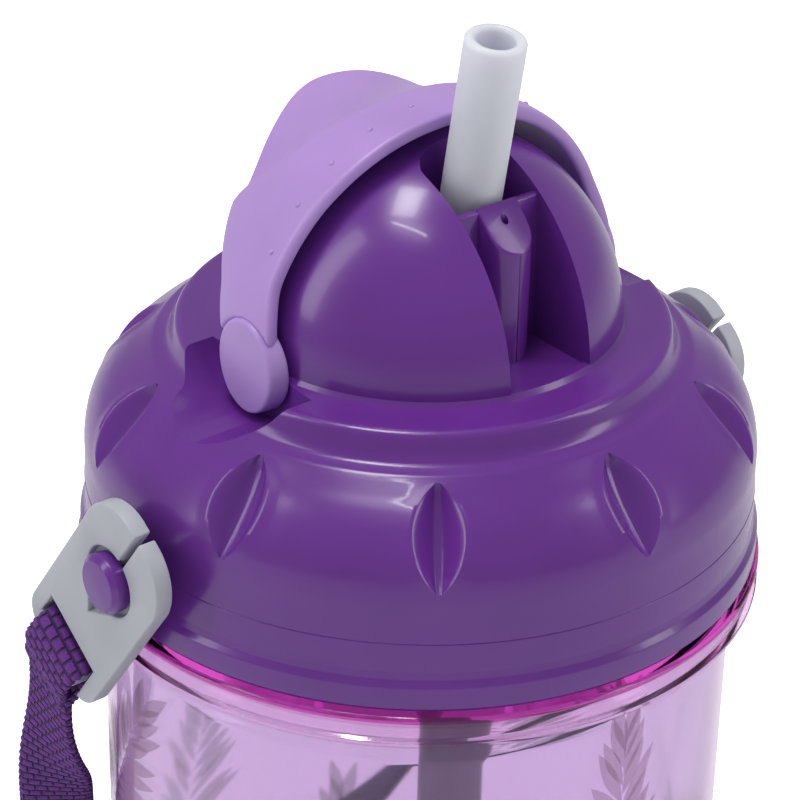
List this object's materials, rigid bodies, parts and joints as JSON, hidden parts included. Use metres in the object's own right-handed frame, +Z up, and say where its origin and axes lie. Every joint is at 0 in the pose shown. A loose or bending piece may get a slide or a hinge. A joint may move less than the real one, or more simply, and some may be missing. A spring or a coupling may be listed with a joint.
{
  "type": "children's straw bottle",
  "caption": "Straw drinking bottle: screw cap with a dome, a swinging cover that folds the straw, and a carrying strap on swivel clips.",
  "frame": {"origin": "middle of the base, on the surface that the bottle stands on, with the strap left out", "axes": "+Z up the bottle's axis, the straw slot faces -Y, the strap pegs and the cover's pivot lie along X"},
  "size_m": [0.1178, 0.1966, 0.1847],
  "materials": {
    "clear_plastic": "clear, lightly tinted magenta and purple",
    "white_silicone": "soft translucent white",
    "cap_plastic": "satin purple",
    "visor_plastic": "glossy lilac",
    "tube_plastic": "translucent",
    "clip_plastic": "satin off-white",
    "webbing": "ribbed woven purple"
  },
  "bodies": {
    "bottle": {"bottle_body": "clear_plastic"},
    "seal": {"sealing_ring": "white_silicone"},
    "cap": {"cap_collar": "cap_plastic", "cap_shell": "cap_plastic", "straw_base": "white_silicone", "straw_tube": "tube_plastic", "vent_valve": "white_silicone", "peg_left": "cap_plastic", "peg_right": "cap_plastic", "strap": "webbing"},
    "visor": {"visor": "visor_plastic"},
    "straw_tip": {"straw_tip": "white_silicone"},
    "clip_left": {"clip_left": "clip_plastic", "strap_loop_left": "webbing"},
    "clip_right": {"clip_right": "clip_plastic", "strap_loop_right": "webbing"}
  },
  "joints": [
    {"name": "cap_lift", "type": "slide", "parent": "bottle", "child": "seal", "axis": [0, 0, 1], "range_m": [0, 0.006]},
    {"name": "cap_turn", "type": "hinge", "parent": "seal", "child": "cap", "pos_m": [0, 0, 0.12], "axis": [0, 0, 1], "range_deg": [0, 360]},
    {"name": "visor_swing", "type": "hinge", "parent": "cap", "child": "visor", "pos_m": [0, 0, 0.144], "axis": [1, 0, 0], "range_deg": [0, 78]},
    {"name": "straw_fold", "type": "hinge", "parent": "cap", "child": "straw_tip", "pos_m": [0, -0.0106, 0.1634], "axis": [1, 0, 0], "range_deg": [0, 144.6], "deforming": ["straw_tip"]},
    {"name": "clip_left_swivel", "type": "hinge", "parent": "cap", "child": "clip_left", "pos_m": [-0.0471, 0, 0.121], "axis": [1, 0, 0], "range_deg": [-35, 55]},
    {"name": "clip_right_swivel", "type": "hinge", "parent": "cap", "child": "clip_right", "pos_m": [0.0471, 0, 0.121], "axis": [1, 0, 0], "range_deg": [-35, 55]}
  ],
  "couplings": [
    {"joint": "cap_lift", "follows": "cap_turn", "m_per_rad": 0.00095493},
    {"joint": "straw_fold", "follows": "visor_swing", "ratio": 1.8538}
  ]
}
